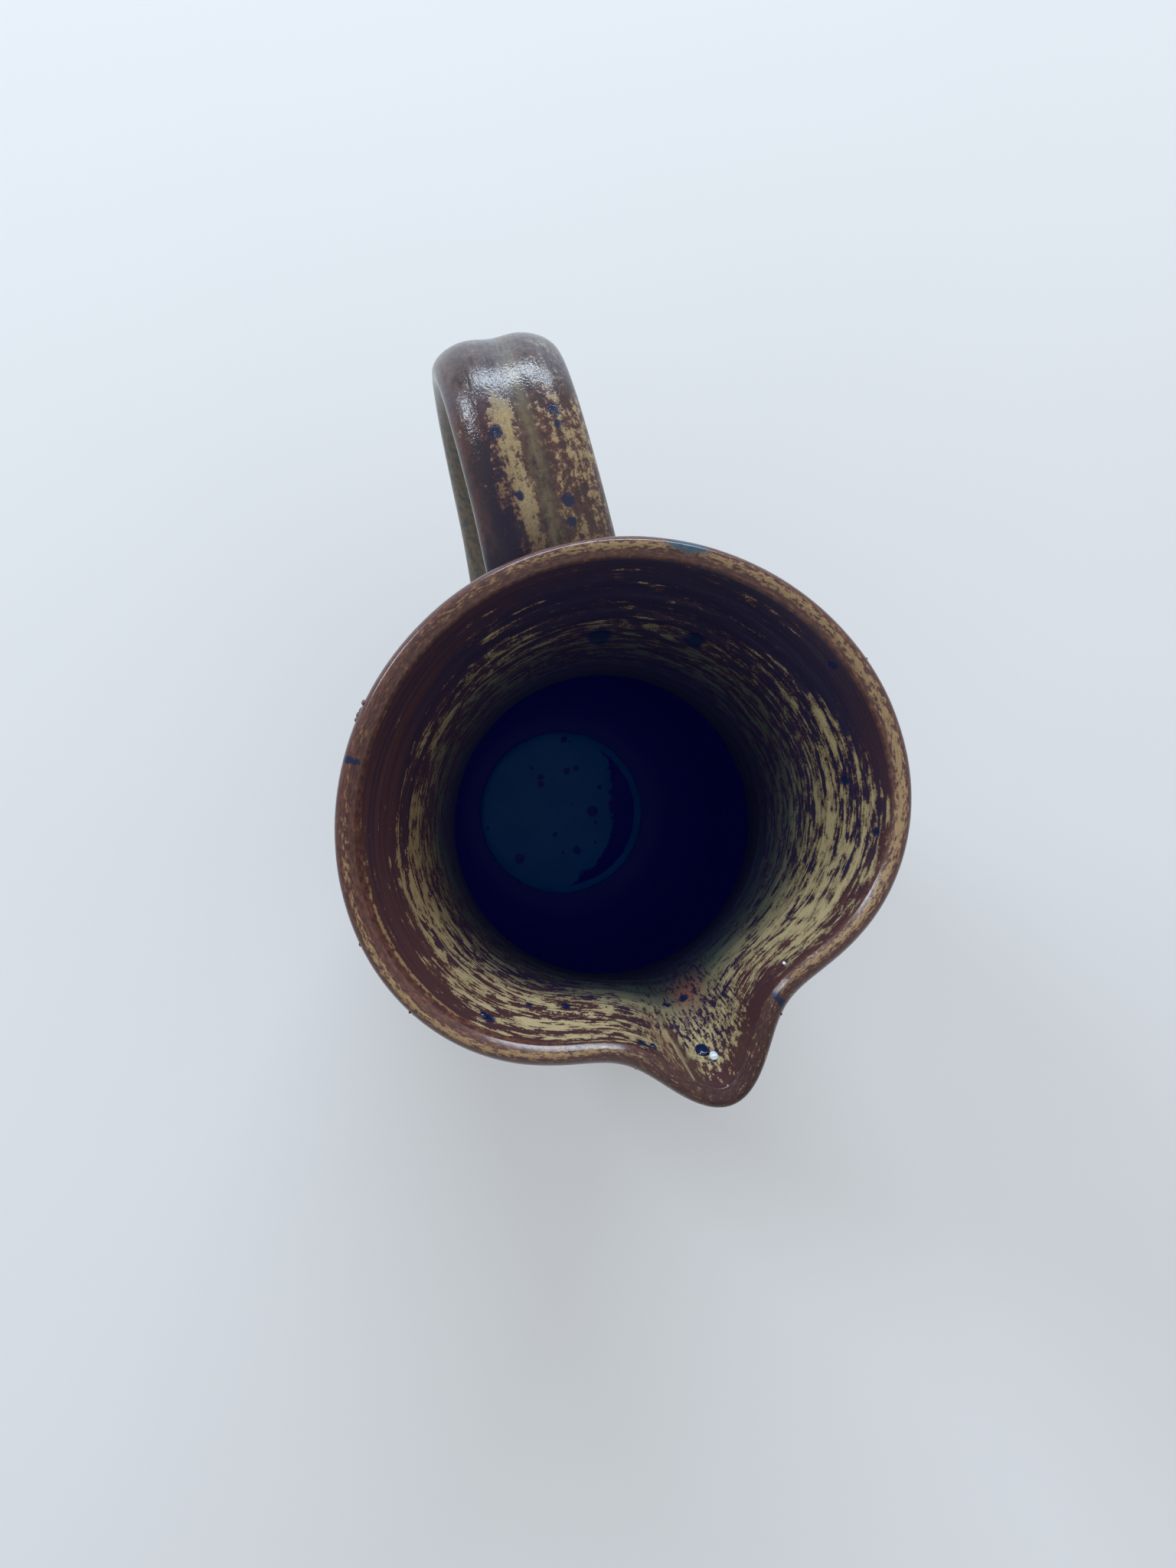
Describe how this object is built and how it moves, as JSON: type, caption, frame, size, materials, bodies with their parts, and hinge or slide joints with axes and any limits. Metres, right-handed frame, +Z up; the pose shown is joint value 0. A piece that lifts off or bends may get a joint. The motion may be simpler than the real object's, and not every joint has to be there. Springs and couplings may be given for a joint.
{
  "type": "stoneware pitcher",
  "caption": "Wheel-thrown stoneware pitcher with a full belly, waisted neck, flared mouth, pulled spout and a grooved strap handle, for pouring drinks at table.",
  "frame": {"origin": "centre of the foot ring's flat underside, on the wheel's axis", "axes": "+Z up along the wheel's axis, +X towards the spout, handle on the -X side"},
  "size_m": [0.1712, 0.126, 0.185],
  "materials": {
    "vessel_glaze": "glossy iron-brown glaze breaking to ochre streaks, dark blue inside",
    "handle_glaze": "glossy iron-brown glaze with ochre bands and blue-black spots",
    "bare_clay": "matt unglazed stoneware",
    "slip": "fired joining slip under the glaze",
    "pool_glaze": "glassy dark teal glaze pool"
  },
  "bodies": {
    "root": {"vessel": "vessel_glaze", "foot_ring": "bare_clay", "handle": "handle_glaze", "upper_slip_joint": "slip", "lower_slip_joint": "slip", "glaze_pool": "pool_glaze"}
  },
  "joints": []
}
